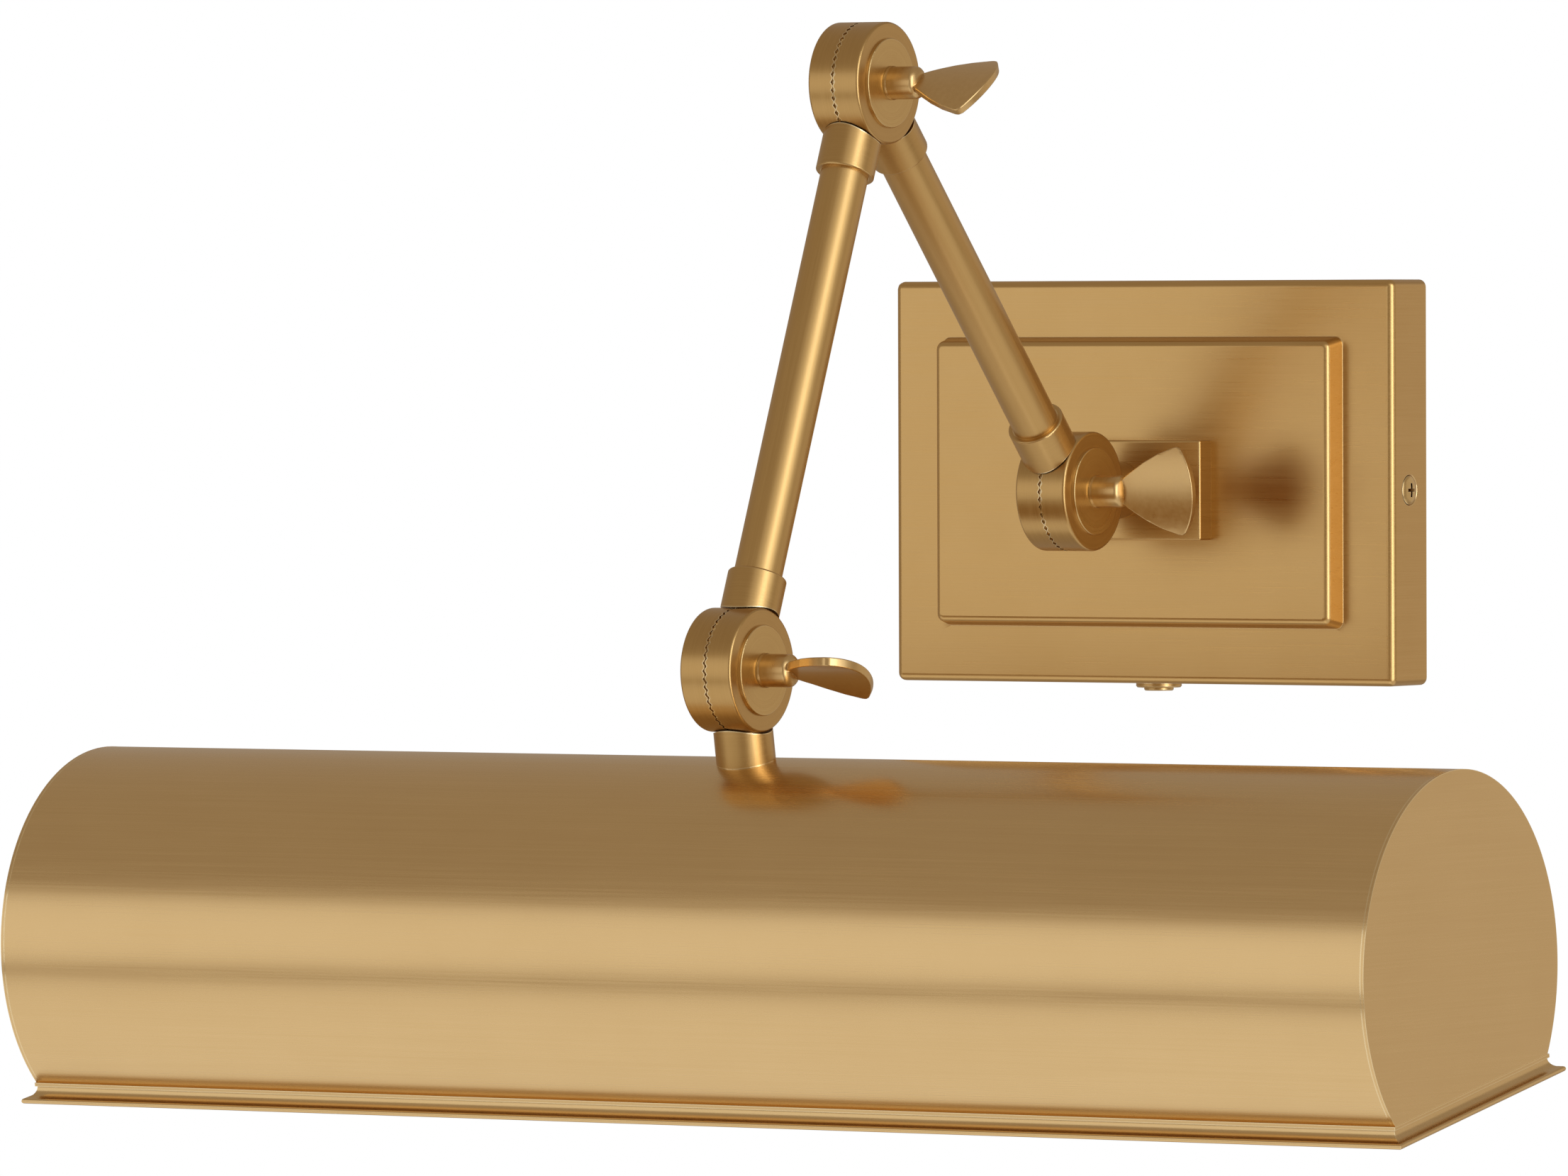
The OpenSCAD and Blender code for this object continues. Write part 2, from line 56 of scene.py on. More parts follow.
REAR_ALONG, FRONT_ALONG = along_arm(REAR_ANGLE), along_arm(FRONT_ANGLE)
WALL_JOINT = Vector((0, -WALL_REACH, 0))
MIDDLE_JOINT = WALL_JOINT + REAR_LENGTH * REAR_ALONG
SHADE_JOINT = MIDDLE_JOINT + FRONT_LENGTH * FRONT_ALONG
SHADE_DOWN = along_arm(SHADE_TILT - math.pi / 2)

# ---------- camera: long lens, to the right of the light and a little above it ----------

CAMERA_AZIMUTH, CAMERA_PITCH, CAMERA_ROLL = map(math.radians, (31.53, 1.15, -0.19))
CAMERA_TARGET = Vector((0, -0.150, -0.0179))
CAMERA_DISTANCE, CAMERA_LEFT, CAMERA_DOWN = 3.7125, 0.0333, 0.0075
CAMERA_LENS, CAMERA_FILM = 309.2, 36


def add_camera():
    level = math.cos(CAMERA_PITCH)
    back = Vector(
        (
            math.sin(CAMERA_AZIMUTH) * level,
            -math.cos(CAMERA_AZIMUTH) * level,
            math.sin(CAMERA_PITCH),
        )
    )
    right = Vector((math.cos(CAMERA_AZIMUTH), math.sin(CAMERA_AZIMUTH), 0))
    up = back.cross(right)
    camera_x = right * math.cos(CAMERA_ROLL) + up * math.sin(CAMERA_ROLL)
    camera_y = up * math.cos(CAMERA_ROLL) - right * math.sin(CAMERA_ROLL)
    place = CAMERA_TARGET + back * CAMERA_DISTANCE - right * CAMERA_LEFT - up * CAMERA_DOWN
    turn = Matrix((camera_x, camera_y, back)).transposed().to_4x4()
    data = bpy.data.cameras.new("camera")
    data.sensor_width = CAMERA_FILM
    data.lens = CAMERA_LENS
    data.clip_start, data.clip_end = 0.1, 100
    camera = bpy.data.objects.new("camera", data)
    bpy.context.scene.collection.objects.link(camera)
    camera.matrix_world = Matrix.Translation(place) @ turn
    bpy.context.scene.camera = camera


add_camera()

# ---------- colours and nodes ----------

# A Mix node has a pair of inputs and an output for each kind of value, all with the same names.
MIX_VECTOR_A, MIX_VECTOR_B, MIX_VECTOR = 4, 5, 1
MIX_COLOUR_A, MIX_COLOUR_B, MIX_COLOUR = 6, 7, 2


def colour(hex_code):
    """sRGB hex to linear, with full alpha."""
    parts = [int(hex_code[i : i + 2], 16) / 255 for i in (1, 3, 5)]
    return [c / 12.92 if c <= 0.04045 else ((c + 0.055) / 1.055) ** 2.4 for c in parts] + [1.0]


def node(tree, kind, inputs=None, **settings):
    """Adds a node with its settings; an input's value is a number or another node's socket."""
    made = tree.nodes.new(kind)
    for name, value in settings.items():
        setattr(made, name, value)
    for name, value in (inputs or {}).items():
        if isinstance(value, bpy.types.NodeSocket):
            tree.links.new(value, made.inputs[name])
        else:
            made.inputs[name].default_value = value
    return made


def new_material(name, **shader_values):
    """A material with its Principled shader wired to the output: (material, tree, shader)."""
    material = bpy.data.materials.new(name)
    material.use_nodes = True
    tree = material.node_tree
    tree.nodes.clear()
    shader = node(tree, "ShaderNodeBsdfPrincipled", shader_values)
    node(tree, "ShaderNodeOutputMaterial", {"Surface": shader.outputs[0]})
    return material, tree, shader


def turn_to(direction):
    """Euler angles that lay a pattern's own Z along the direction, which has no X part."""
    return (math.atan2(direction.y, direction.z), 0, 0)


def local_place(tree, centre, turn=(0, 0, 0)):
    """Object coordinates measured from a centre, then turned."""
    coordinates = node(tree, "ShaderNodeTexCoord")
    moved = node(
        tree,
        "ShaderNodeVectorMath",
        {0: coordinates.outputs["Object"], 1: tuple(centre)},
        operation="SUBTRACT",
    )
    return node(
        tree,
        "ShaderNodeMapping",
        {"Vector": moved.outputs[0], "Rotation": turn},
        vector_type="POINT",
    ).outputs[0]


# ---------- brush and lathe lines ----------

# grain_mm is (length, width) of a line. Real brush and lathe lines are about 0.1 mm wide; they are
# drawn 0.25 mm and wider, because finer ones don't show from the camera.

SIDEWAYS = 0.7  # a face looks along X when its normal's X part is more than this


def sheet_grain(tree, place, grain_mm):
    """Brush lines along X, and along Y on the faces that look along X."""
    length, width = (1 / (v * MM) for v in grain_mm)
    front, side = (
        node(tree, "ShaderNodeMapping", {"Vector": place, "Scale": scale}, vector_type="POINT")
        for scale in ((length, width, width), (width, length, width))
    )
    facing = node(tree, "ShaderNodeTexCoord")
    split = node(tree, "ShaderNodeSeparateXYZ", {0: facing.outputs["Normal"]})
    size = node(tree, "ShaderNodeMath", {0: split.outputs[0]}, operation="ABSOLUTE")
    sideways = node(
        tree, "ShaderNodeMath", {0: size.outputs[0], 1: SIDEWAYS}, operation="GREATER_THAN"
    )
    return node(
        tree,
        "ShaderNodeMix",
        {0: sideways.outputs[0], MIX_VECTOR_A: front.outputs[0], MIX_VECTOR_B: side.outputs[0]},
        data_type="VECTOR",
    ).outputs[MIX_VECTOR]


def turned_grain(tree, place, grain_mm):
    """Lathe lines round the pattern's X axis, and in rings on the faces that look along it."""
    length, width = (1 / (v * MM) for v in grain_mm)
    split = node(tree, "ShaderNodeSeparateXYZ", {0: place})
    flat = node(tree, "ShaderNodeCombineXYZ", {1: split.outputs[1], 2: split.outputs[2]})
    radius = node(tree, "ShaderNodeVectorMath", {0: flat.outputs[0]}, operation="LENGTH")
    lathe = node(
        tree, "ShaderNodeCombineXYZ", {0: split.outputs[0], 1: radius.outputs["Value"]}
    )
    fine = node(tree, "ShaderNodeVectorMath", {0: lathe.outputs[0], 3: width}, operation="SCALE")
    around = node(tree, "ShaderNodeVectorMath", {0: flat.outputs[0], 3: length}, operation="SCALE")
    return node(
        tree, "ShaderNodeVectorMath", {0: fine.outputs[0], 1: around.outputs[0]}, operation="ADD"
    ).outputs[0]


def tube_grain(tree, place, grain_mm):
    """Draw lines along the pattern's Z."""
    length, width = (1 / (v * MM) for v in grain_mm)
    scale = (width, width, length)
    return node(
        tree, "ShaderNodeMapping", {"Vector": place, "Scale": scale}, vector_type="POINT"
    ).outputs[0]


def sleeve_grain(tree, place, grain_mm):
    """Lathe lines round the pattern's Z."""
    length, width = (1 / (v * MM) for v in grain_mm)
    scale = (length, length, width)
    return node(
        tree, "ShaderNodeMapping", {"Vector": place, "Scale": scale}, vector_type="POINT"
    ).outputs[0]


# ---------- brass ----------

# The pale cream is laid on edges as wear and as a painted highlight; the dark brown is painted
# shade for crevices.
RUB_AND_HIGHLIGHT_TONE, CREVICE_SHADE_TONE = "#F8E3B6", "#6B4619"
# shares of the fine lines, the broad lines and the tarnish clouds in the colour pattern
FINE_SHARE, BROAD_SHARE, CLOUD_SHARE = 0.75, 0.25, 0.45
PATTERN_LOW, PATTERN_HIGH = 0.4, 1.05
CLOUDS_PER_M = 38.0  # a cloud is about 26 mm across
# Painted shade in crevices: how far the occlusion test reaches, the occlusion value where the shade
# is full, and where it is gone.
CREVICE_REACH_MM, CREVICE_DARK, CREVICE_UNSHADED = 2.0, 0.3, 0.66
GLOSS_SWING, RUB_GLOSS = 0.04, -0.14
LACQUER_WEIGHT, LACQUER_ROUGHNESS = 0.18, 0.12
ORIGIN = Vector((0, 0, 0))


def edge_mask(tree, radius_mm):
    """1 where an edge or a corner is near, 0 on the flat."""
    soft = node(tree, "ShaderNodeBevel", {"Radius": radius_mm * MM}, samples=6)
    hard = node(tree, "ShaderNodeNewGeometry")
    same = node(
        tree,
        "ShaderNodeVectorMath",
        {0: soft.outputs[0], 1: hard.outputs["Normal"]},
        operation="DOT_PRODUCT",
    )
    return node(
        tree,
        "ShaderNodeMapRange",
        {"Value": same.outputs["Value"], "From Min": 0.995, "From Max": 0.86},
    ).outputs[0]


def brass(name, tones, roughness, grain, centre, turn=(0, 0, 0), depth_mm=0.003, edge_mm=0.6):
    """Lacquered brass with its lines, slow tarnish clouds, edges lightened by wear and a painted
    highlight, and painted shade darkening its crevices.
    tones is (clean, shadow); grain is (maker, fine lines in mm, broad lines in mm)."""
    material, tree, shader = new_material(
        name,
        **{
            "Metallic": 1.0,
            "Coat Weight": LACQUER_WEIGHT,
            "Coat Roughness": LACQUER_ROUGHNESS,
        },
    )
    maker, fine_mm, broad_mm = grain
    place = local_place(tree, centre, turn)
    fine = node(
        tree,
        "ShaderNodeTexNoise",
        {"Vector": maker(tree, place, fine_mm), "Scale": 1.0, "Detail": 3.0},
    )
    broad = node(
        tree,
        "ShaderNodeTexNoise",
        {"Vector": maker(tree, place, broad_mm), "Scale": 1.0, "Detail": 2.0},
    )
    cloud = node(
        tree,
        "ShaderNodeTexNoise",
        {"Vector": place, "Scale": CLOUDS_PER_M, "Detail": 4.0, "Roughness": 0.6},
    )
    fine_part = node(
        tree, "ShaderNodeMath", {0: fine.outputs["Fac"], 1: FINE_SHARE}, operation="MULTIPLY"
    )
    lines = node(
        tree,
        "ShaderNodeMath",
        {0: broad.outputs["Fac"], 1: BROAD_SHARE, 2: fine_part.outputs[0]},
        operation="MULTIPLY_ADD",
    )
    pattern = node(
        tree,
        "ShaderNodeMath",
        {0: cloud.outputs["Fac"], 1: CLOUD_SHARE, 2: lines.outputs[0]},
        operation="MULTIPLY_ADD",
    )
    share = node(
        tree,
        "ShaderNodeMapRange",
        {"Value": pattern.outputs[0], "From Min": PATTERN_LOW, "From Max": PATTERN_HIGH},
    )
    clean_tone, shadow_tone = tones
    base = node(
        tree,
        "ShaderNodeMix",
        {
            "Factor": share.outputs[0],
            MIX_COLOUR_A: colour(shadow_tone),
            MIX_COLOUR_B: colour(clean_tone),
        },
        data_type="RGBA",
    )
    # Edges and corners are mixed towards a pale cream: partly wear, partly a painted highlight.
    edge_wear_and_highlight = edge_mask(tree, edge_mm)
    rubbed_and_highlit = node(
        tree,
        "ShaderNodeMix",
        {
            "Factor": edge_wear_and_highlight,
            MIX_COLOUR_A: base.outputs[MIX_COLOUR],
            MIX_COLOUR_B: colour(RUB_AND_HIGHLIGHT_TONE),
        },
        data_type="RGBA",
    )
    # Painted shade: an ambient-occlusion mask darkens hollows, crevices and places between parts
    # towards a dark brown.
    openness = node(
        tree,
        "ShaderNodeAmbientOcclusion",
        {"Distance": CREVICE_REACH_MM * MM},
        samples=12,
        only_local=True,
    )
    open_air = node(
        tree,
        "ShaderNodeMapRange",
        {"Value": openness.outputs["AO"], "From Min": CREVICE_DARK, "From Max": CREVICE_UNSHADED},
    )
    crevice_shaded = node(
        tree,
        "ShaderNodeMix",
        {
            "Factor": open_air.outputs[0],
            MIX_COLOUR_A: colour(CREVICE_SHADE_TONE),
            MIX_COLOUR_B: rubbed_and_highlit.outputs[MIX_COLOUR],
        },
        data_type="RGBA",
    )
    gloss = node(
        tree,
        "ShaderNodeMapRange",
        {
            "Value": lines.outputs[0],
            "From Min": 0.3,
            "From Max": 0.7,
            "To Min": roughness - GLOSS_SWING,
            "To Max": roughness + GLOSS_SWING,
        },
    )
    polished = node(
        tree,
        "ShaderNodeMath",
        {0: edge_wear_and_highlight, 1: RUB_GLOSS, 2: gloss.outputs[0]},
        operation="MULTIPLY_ADD",
    )
    relief = node(
        tree, "ShaderNodeBump", {"Distance": depth_mm * MM, "Height": lines.outputs[0]}
    )
    tree.links.new(crevice_shaded.outputs[MIX_COLOUR], shader.inputs["Base Color"])
    tree.links.new(polished.outputs[0], shader.inputs["Roughness"])
    tree.links.new(relief.outputs[0], shader.inputs["Normal"])
    return material


# Satin brass sheet, pressed and then brushed along its width under lacquer: long level lines and
# a soft wide glow.
plate_brass = brass(
    "satin_brass_plate",
    ("#D7B174", "#CCA465"),
    0.30,
    (sheet_grain, (30, 0.35), (90, 2.2)),
    ORIGIN,
    depth_mm=0.006,
    edge_mm=0.5,
)
# Satin brass sheet rolled to a half round: smoother, its lines run along the shade.
shade_brass = brass(
    "satin_brass_shade",
    ("#E6C58E", "#DEBC84"),
    0.26,
    (sheet_grain, (60, 0.5), (180, 3.0)),
    ORIGIN,
    edge_mm=0.5,
)
LATHE_LINES = (turned_grain, (9, 0.3), (20, 0.9))


def joint_brass(name, centre):
    """Turned brass: lathe lines run round the joint's axis and in rings on its faces."""
    return brass(name, ("#CDA76A", "#BF985C"), 0.33, LATHE_LINES, centre)


def lit_disc_brass(name, centre):
    """Turned disc under the thumb screw, in a brighter tone than the drum: a lit copy of the turned
    brass, painted light standing in for brighter light on the discs' faces.
    """
    return brass(name, ("#D9B779", "#CBA568"), 0.30, LATHE_LINES, centre, depth_mm=0.002)


def tube_brass(name, centre, direction):
    """Drawn brass tube: fine lines along it."""
    grain = (tube_grain, (25, 0.3), (60, 0.9))
    turn = turn_to(direction)
    return brass(
        name, ("#D2AC6E", "#C9A264"), 0.38, grain, centre, turn, depth_mm=0.002, edge_mm=0.5
    )


def sleeve_brass(name, centre, direction):
    """Turned brass collar: lathe lines run round the arm."""
    grain = (sleeve_grain, (30, 0.3), (60, 0.6))
    turn = turn_to(direction)
    return brass(name, ("#CDA76A", "#C59E61"), 0.34, grain, centre, turn, depth_mm=0.001)


def wing_brass(name, centre):
    """Cast brass wing, polished by hand: hardly any lines, soft clouds, and edges lightened by wear
    and a painted highlight.
    """
    grain = (turned_grain, (4, 1.2), (9, 3))
    return brass(
        name, ("#DDBA80", "#D3AD71"), 0.31, grain, centre, depth_mm=0.002, edge_mm=0.5
    )


# ---------- the materials inside ----------


def speckled(name, tones, clouds_mm, bump_mm, roughness, **shader_values):
    """A material whose colour, gloss and surface follow one soft noise.
    tones is (dark, light); roughness is (lowest, highest)."""
    material, tree, shader = new_material(name, **shader_values)
    place = node(tree, "ShaderNodeTexCoord").outputs["Object"]
    cloud = node(
        tree,
        "ShaderNodeTexNoise",
        {"Vector": place, "Scale": 1 / (clouds_mm * MM), "Detail": 5.0},
    )
    spread = node(
        tree,
        "ShaderNodeMapRange",
        {"Value": cloud.outputs["Fac"], "From Min": 0.3, "From Max": 0.7},
    )
    tint = node(
        tree,
        "ShaderNodeMix",
        {
            "Factor": spread.outputs[0],
            MIX_COLOUR_A: colour(tones[0]),
            MIX_COLOUR_B: colour(tones[1]),
        },
        data_type="RGBA",
    )
    gloss = node(
        tree,
        "ShaderNodeMapRange",
        {"Value": spread.outputs[0], "To Min": roughness[0], "To Max": roughness[1]},
    )
    relief = node(
        tree, "ShaderNodeBump", {"Distance": bump_mm * MM, "Height": cloud.outputs["Fac"]}
    )
    tree.links.new(tint.outputs[MIX_COLOUR], shader.inputs["Base Color"])
    tree.links.new(gloss.outputs[0], shader.inputs["Roughness"])
    tree.links.new(relief.outputs[0], shader.inputs["Normal"])
    return material


# Zinc-plated steel strip and nuts: cool grey with blue-grey clouds of passivated zinc, half dull.
zinc_steel = speckled(
    "zinc_plated_steel", ("#A9AEB2", "#C9CBCA"), 4.0, 0.02, (0.3, 0.46), Metallic=1.0
)
# Steel ground screw with green dye over its plating: deep green metal.
green_steel = speckled(
    "green_dyed_steel", ("#1F6B35", "#2F8A49"), 2.0, 0.01, (0.28, 0.4), Metallic=1.0
)
# Moulded black phenolic switch body: dull black with a fine pebble from the mould.
switch_black = speckled(
    "moulded_phenolic", ("#17171A", "#232326"), 0.8, 0.03, (0.42, 0.56), IOR=1.55
)
# Heat-proof lamp wire in extruded fluoropolymer: milky and slightly waxy.
wire_jacket = speckled(
    "extruded_wire_jacket", ("#D8D3C6", "#E9E5DA"), 3.0, 0.02, (0.34, 0.46), IOR=1.4
)
# Glazed porcelain lampholder: ivory under a clear glossy glaze, with a faint orange-peel surface.
porcelain = speckled(
    "glazed_porcelain",
    ("#E9E2D0", "#F3EEE1"),
    2.5,
    0.03,
    (0.2, 0.3),
    **{"IOR": 1.5, "Coat Weight": 0.6, "Coat Roughness": 0.06},
)
# Stamped brass lamp cap, drawn bright and a little stained by heat.
lamp_cap = speckled(
    "stamped_brass_cap", ("#B8935A", "#D9BC84"), 3.0, 0.015, (0.24, 0.4), Metallic=1.0
)
# Lamp glass frosted inside with silica: white, soft, glossy outside, and some light comes through.
frosted_glass = speckled(
    "frosted_lamp_glass",
    ("#EFEBE2", "#FAF8F2"),
    5.0,
    0.01,
    (0.3, 0.4),
    **{"IOR": 1.5, "Transmission Weight": 0.35, "Coat Weight": 0.7, "Coat Roughness": 0.05},
)

for material, names in (
    (plate_brass, "wall_cover boss_pad switch_ring switch_button cover_screws"),
    (shade_brass, "shade_shell left_end_cap right_end_cap lip_frame"),
    (
        joint_brass("turned_brass_wall_joint", WALL_JOINT),
        "wall_joint_half rear_lower_half wall_back_disc wall_clamp_nut wall_thumb_screw",
    ),
    (
        joint_brass("turned_brass_middle_joint", MIDDLE_JOINT),
        "rear_upper_half front_upper_half mid_back_disc mid_clamp_nut mid_thumb_screw",
    ),
    (
        joint_brass("turned_brass_shade_joint", SHADE_JOINT),
        "front_lower_half shade_joint_half shade_back_disc shade_clamp_nut shade_thumb_screw",
    ),
    # The face discs take a brighter copy of the turned brass: painted light.
    (lit_disc_brass("lit_turned_brass_wall_disc", WALL_JOINT), "wall_face_disc"),
    (lit_disc_brass("lit_turned_brass_middle_disc", MIDDLE_JOINT), "mid_face_disc"),
    (lit_disc_brass("lit_turned_brass_shade_disc", SHADE_JOINT), "shade_face_disc"),
    (tube_brass("drawn_brass_rear_arm", WALL_JOINT, REAR_ALONG), "rear_tube"),
    (tube_brass("drawn_brass_front_arm", MIDDLE_JOINT, FRONT_ALONG), "front_tube"),
    (sleeve_brass("turned_brass_rear_sleeves", WALL_JOINT, REAR_ALONG), "rear_sleeves"),
    (sleeve_brass("turned_brass_front_sleeves", MIDDLE_JOINT, FRONT_ALONG), "front_sleeves"),
    (sleeve_brass("turned_brass_wall_sleeve", WALL_JOINT, along_arm(0)), "wall_sleeve"),
    (sleeve_brass("turned_brass_shade_sleeve", SHADE_JOINT, SHADE_DOWN), "shade_sleeve"),
    (
        zinc_steel,
        "crossbar wall_washer wall_lock_nut saddle_washer shade_lock_nut lamp_bracket "
        "lampholder_screws",
    ),
    (green_steel, "ground_screw"),
    (switch_black, "switch_case"),
    (wire_jacket, "rear_wires front_wires"),
    (porcelain, "lampholders"),
    (lamp_cap, "lamp_bases"),
    (frosted_glass, "lamp_glass"),
):
    for name in names.split():
        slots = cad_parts[name].data.materials
        slots.clear()
        slots.append(material)

# ---------- modelling helpers ----------


def deselect_all():
    if bpy.context.object and bpy.context.object.mode != "OBJECT":
        bpy.ops.object.mode_set(mode="OBJECT")
    bpy.ops.object.select_all(action="DESELECT")


def only(piece):
    """Select this object alone and make it active."""
    deselect_all()
    piece.select_set(True)
    bpy.context.view_layer.objects.active = piece


def pick(piece, kind, test):
    """In edit mode, select the "faces" or "edges" that pass the test, and nothing else."""
    bpy.ops.mesh.select_mode(type={"faces": "FACE", "edges": "EDGE"}[kind])
    bpy.ops.mesh.select_all(action="DESELECT")
    mesh = bmesh.from_edit_mesh(piece.data)
    for part in getattr(mesh, kind):
        if test(part):
            part.select_set(True)
    mesh.select_flush_mode()
    bmesh.update_edit_mesh(piece.data)


def apply_modifier(piece, name, kind, **settings):
    only(piece)
    modifier = piece.modifiers.new(name, kind)
    for key, value in settings.items():
        setattr(modifier, key, value)
    bpy.ops.object.modifier_apply(modifier=name)


def tidy_surface(piece, angle=35):
    """Merge doubles, point faces outwards, and shade smooth with edges past the angle kept."""
    only(piece)
    bpy.ops.object.mode_set(mode="EDIT")
    bpy.ops.mesh.select_all(action="SELECT")
    bpy.ops.mesh.remove_doubles(threshold=1e-6)
    bpy.ops.mesh.normals_make_consistent(inside=False)
    bpy.ops.object.mode_set(mode="OBJECT")
    bpy.ops.object.shade_smooth_by_angle(angle=math.radians(angle))
    apply_modifier(piece, "flat_faces", "WEIGHTED_NORMAL", keep_sharp=True)


def turn_profile(name, profile, sides=64):
    """Turned piece round Z: a filled circle extruded and resized ring by ring.
    profile is (z, radius) in mm."""
    deselect_all()
    (z, radius), *rest = profile
    bpy.ops.mesh.primitive_circle_add(
        vertices=sides, radius=radius * MM, fill_type="NGON", location=(0, 0, z * MM)
    )
    piece = bpy.context.object
    piece.name = name
    bpy.ops.object.transform_apply()
    bpy.ops.object.mode_set(mode="EDIT")
    bpy.ops.mesh.select_mode(type="FACE")
    bpy.ops.mesh.select_all(action="SELECT")
    for next_z, next_radius in rest:
        rise = (0, 0, (next_z - z) * MM)
        bpy.ops.mesh.extrude_region_move(TRANSFORM_OT_translate={"value": rise})
        share = next_radius / radius
        if share != 1:
            bpy.ops.transform.resize(
                value=(share, share, 1), center_override=(0, 0, next_z * MM)
            )
        z, radius = next_z, next_radius
    bpy.ops.object.mode_set(mode="OBJECT")
    return piece


def copy_piece(source, name, place):
    """A copy with its own mesh, moved by the matrix into its place in the frame."""
    piece = source.copy()
    piece.data = source.data.copy()
    piece.name = name
    bpy.context.scene.collection.objects.link(piece)
    piece.data.transform(place)
    return piece


def cut(plane_point, plane_normal, clear=False):
    """Bisect the whole mesh; the part on the normal's side is dropped when clear is true."""
    bpy.ops.mesh.select_all(action="SELECT")
    bpy.ops.mesh.bisect(
        plane_co=[v * MM for v in plane_point],
        plane_no=plane_normal,
        clear_outer=clear,
        use_fill=False,
    )


def near(value_m, target_mm, tolerance_mm=0.2):
    return abs(value_m / MM - target_mm) < tolerance_mm


def edge_lies(edge, axis, target_mm):
    """Both ends of the edge are at that place along an axis (0, 1 or 2)."""
    return all(near(v.co[axis], target_mm) for v in edge.verts)


def runs_back(edge, depth_mm):
    """The edge runs towards the wall by more than that depth."""
    return abs(edge.verts[0].co.y - edge.verts[1].co.y) > depth_mm * MM


def bevel_picked(radius_mm, segments):
    bpy.ops.mesh.bevel(
        offset=radius_mm * MM, segments=segments, affect="EDGES", clamp_overlap=True
    )


# ---------- thumb screws (mm) ----------

STEM_START, STEM_R = -7.2, 2.9
SHOULDER, SHANK_R, SHANK_L = 8.85, 4.5, 8.85
SHANK_END = SHOULDER + SHANK_L
WING_START = SHANK_END - 0.6
WING_L, WING_T, WING_HALF, WING_SAG = 23.2, 2.4, 12.5, 4.8
# half outline of the wing as tangents: half width, distance from the root, slope of the edge there
WING_OUTLINE = (
    (3.0, 0, 0.78),
    (6.3, 4.6, 0.66),
    (9.1, 9.2, 0.52),
    (11.2, 13.8, 0.36),
    (12.4, 17.6, 0.14),
    (12.35, 18.1, -0.1),
    (12.05, 18.6, -0.6),
)
WING_END_R = (WING_SAG**2 + WING_HALF**2) / (2 * WING_SAG)
WING_ROOT = 0.8  # length of wing that is buried in the shank
WING_EDGE_R = 0.35
CUP_R = 35
SHARP_EDGE = math.radians(60)


def make_wing():
    """Cast fan-shaped wing: flat blank cut to its outline, thickened, edges broken, then cupped."""
    deselect_all()
    tip = WING_START + WING_L
    bpy.ops.mesh.primitive_circle_add(
        vertices=200,
        radius=WING_END_R * MM,
        fill_type="NGON",
        location=(0, -WING_T / 2 * MM, (tip - WING_END_R) * MM),
        rotation=(math.pi / 2, 0, 0),
    )
    wing = bpy.context.object
    wing.name = "wing_blank"
    bpy.ops.object.transform_apply()
    bpy.ops.object.mode_set(mode="EDIT")
    cut((0, 0, WING_START - WING_ROOT), (0, 0, -1), clear=True)
    for x, z, slope in WING_OUTLINE:
        for side in (-1, 1):
            cut((side * x, 0, WING_START + z), (side, 0, -slope), clear=True)
    # rows of vertices across and along the blank, so that it can bend
    for x in range(-10, 11, 2):
        cut((x, 0, 0), (1, 0, 0))
    for z in (4, 9, 14, 19):
        cut((0, 0, WING_START + z), (0, 0, 1))
    bpy.ops.mesh.select_mode(type="FACE")
    bpy.ops.mesh.select_all(action="SELECT")
    bpy.ops.mesh.extrude_region_move(TRANSFORM_OT_translate={"value": (0, WING_T * MM, 0)})
    bpy.ops.mesh.select_all(action="SELECT")
    bpy.ops.mesh.normals_make_consistent(inside=False)
    pick(wing, "edges", lambda e: len(e.link_faces) == 2 and e.calc_face_angle() > SHARP_EDGE)
    bpy.ops.mesh.bevel(offset=WING_EDGE_R * MM, segments=3, affect="EDGES")
    bpy.ops.object.mode_set(mode="OBJECT")
    apply_modifier(
        wing,
        "cup",
        "SIMPLE_DEFORM",
        deform_method="BEND",
        deform_axis="Z",
        angle=-2 * WING_HALF / CUP_R,
    )
    return wing


def make_thumb_screw():
    """Turned shank with a collar at its foot and a rounded end, joined with the wing."""
    shank = turn_profile(
        "thumb_screw_blank",
        [
            (STEM_START, STEM_R),
            (SHOULDER, STEM_R),
            (SHOULDER, SHANK_R + 0.2),
            (SHOULDER + 0.6, SHANK_R + 0.2),
            (SHOULDER + 0.9, SHANK_R),
            (SHANK_END - 1.1, SHANK_R),
            (SHANK_END - 0.6, SHANK_R - 0.15),
            (SHANK_END - 0.2, SHANK_R - 0.5),
            (SHANK_END + 0.1, SHANK_R - 1.0),
            (SHANK_END + 0.5, SHANK_R - 1.8),
            (SHANK_END + 0.7, SHANK_R - 3.0),
        ],
    )
    wing = make_wing()
    apply_modifier(shank, "join", "BOOLEAN", operation="UNION", solver="EXACT", object=wing)
    bpy.data.objects.remove(wing)
    tidy_surface(shank, 40)
    return shank


def thumb_screw_place(joint, wing_turn):
    """From the turned blank, axis along Z and convex side along Y, to its place at a joint."""
    lie = Matrix(((0, 0, 1, 0), (1, 0, 0, 0), (0, 1, 0, 0), (0, 0, 0, 1)))
    return Matrix.Translation(joint) @ Matrix.Rotation(math.radians(wing_turn), 4, "X") @ lie


def add_thumb_screws():
    blank = make_thumb_screw()
    for name, node_name, joint, wing_turn in (
        ("wall_wing_screw", "wall_thumb_screw", WALL_JOINT, 97),
        ("middle_wing_screw", "mid_thumb_screw", MIDDLE_JOINT, 33),
        ("shade_wing_screw", "shade_thumb_screw", SHADE_JOINT, -24),
    ):
        screw = copy_piece(blank, name, thumb_screw_place(joint, wing_turn))
        screw.data.materials.append(wing_brass("polished_brass_" + name, joint))
        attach(screw, node_name)
        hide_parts(node_name)
    bpy.data.objects.remove(blank)


add_thumb_screws()

